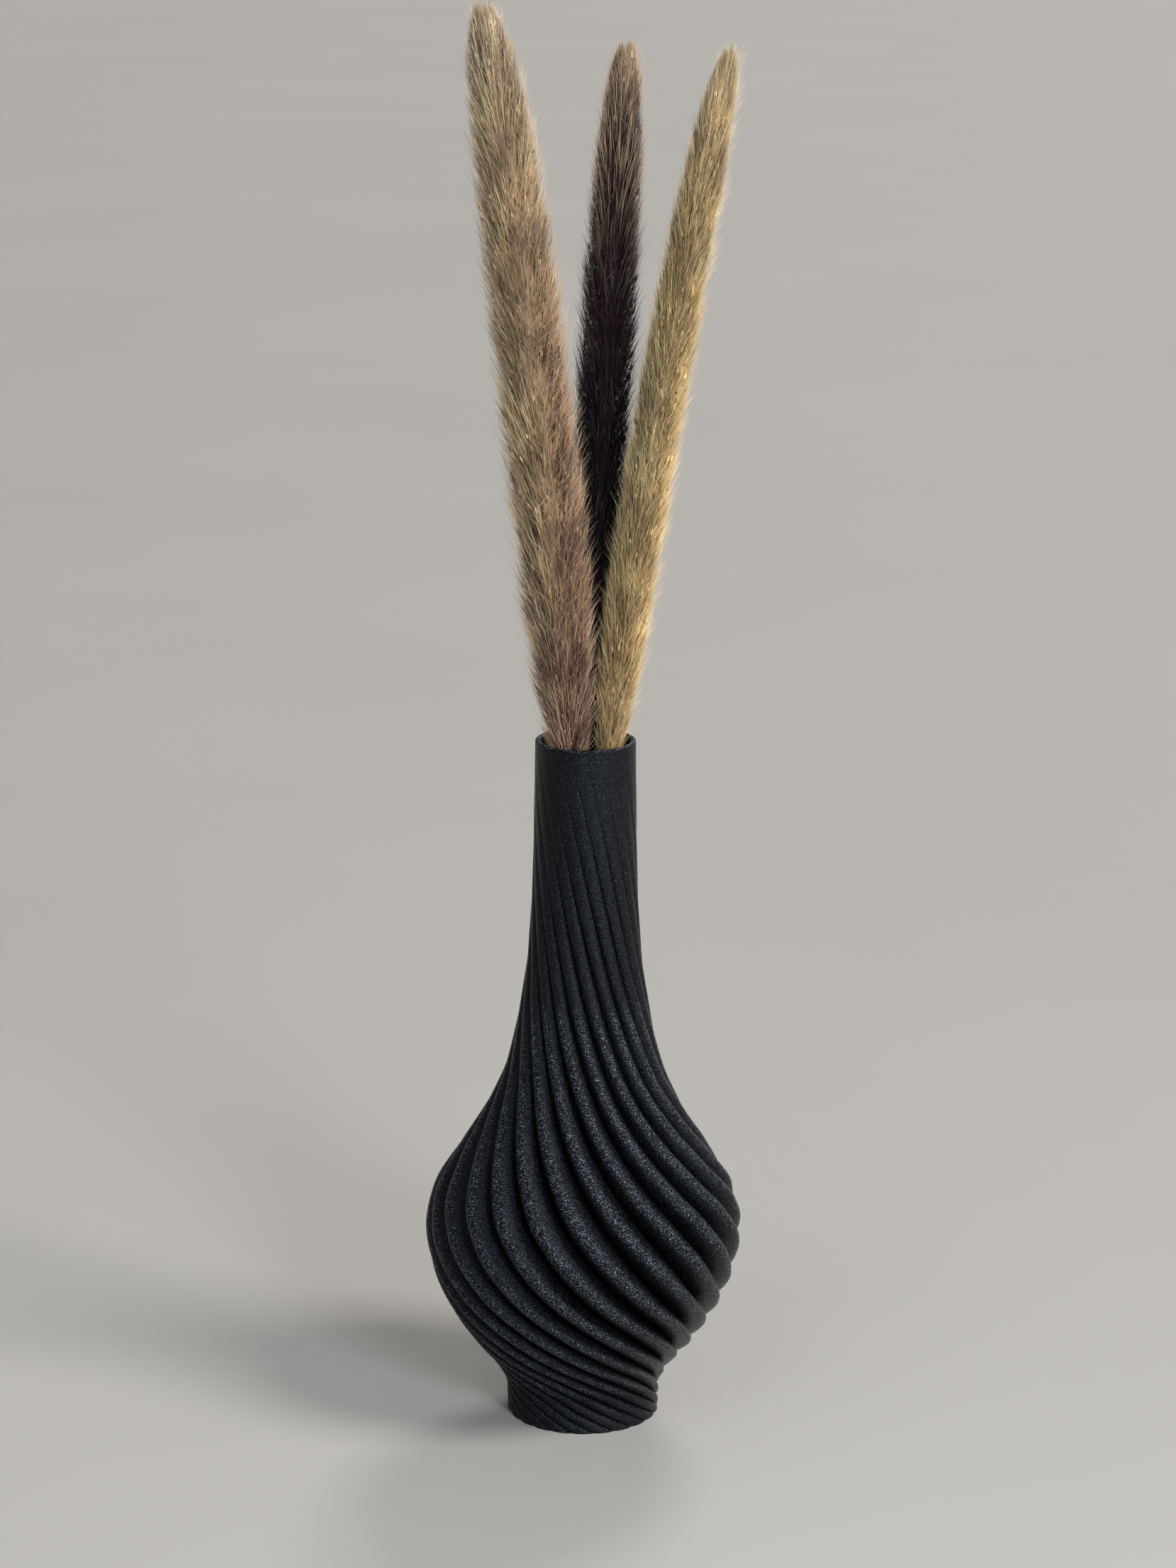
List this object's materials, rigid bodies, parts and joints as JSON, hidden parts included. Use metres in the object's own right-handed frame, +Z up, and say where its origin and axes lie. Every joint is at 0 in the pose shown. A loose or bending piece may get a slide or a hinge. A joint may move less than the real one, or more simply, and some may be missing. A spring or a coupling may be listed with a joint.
{
  "type": "bud vase with dried grass stems",
  "caption": "Slender-necked bud vase with winding rounded flutes, holding dried grass stems that lift out through its mouth.",
  "frame": {"origin": "centre of the foot's flat underside, on the vase's axis", "axes": "+Z up along the vase's axis; -Y is the side that faces the viewer; +X is the viewer's right"},
  "size_m": [0.0998, 0.1, 0.445],
  "materials": {
    "vase": "satin near-black, fine level lines and a faint sparkle",
    "stalk": "matte dried straw",
    "plume_tan": "matte dried bristles, straw to mauve",
    "plume_dark": "matte dried bristles, dark purple-brown",
    "plume_gold": "matte dried bristles, pale gold with grey-green"
  },
  "bodies": {
    "vase": {"vase_body": "vase"},
    "stem_left": {"stalk_left": "stalk", "plume_left": "plume_tan"},
    "stem_middle": {"stalk_middle": "stalk", "plume_middle": "plume_dark"},
    "stem_right": {"stalk_right": "stalk", "plume_right": "plume_gold"}
  },
  "joints": [
    {"name": "lift_left", "type": "slide", "parent": "vase", "child": "stem_left", "axis": [-0.0748, 0, 0.9972], "range_m": [0, 0.225]},
    {"name": "lift_middle", "type": "slide", "parent": "vase", "child": "stem_middle", "axis": [0.04, 0.026, 0.9989], "range_m": [0, 0.225]},
    {"name": "lift_right", "type": "slide", "parent": "vase", "child": "stem_right", "axis": [0.1172, -0.0149, 0.993], "range_m": [0, 0.225]}
  ]
}
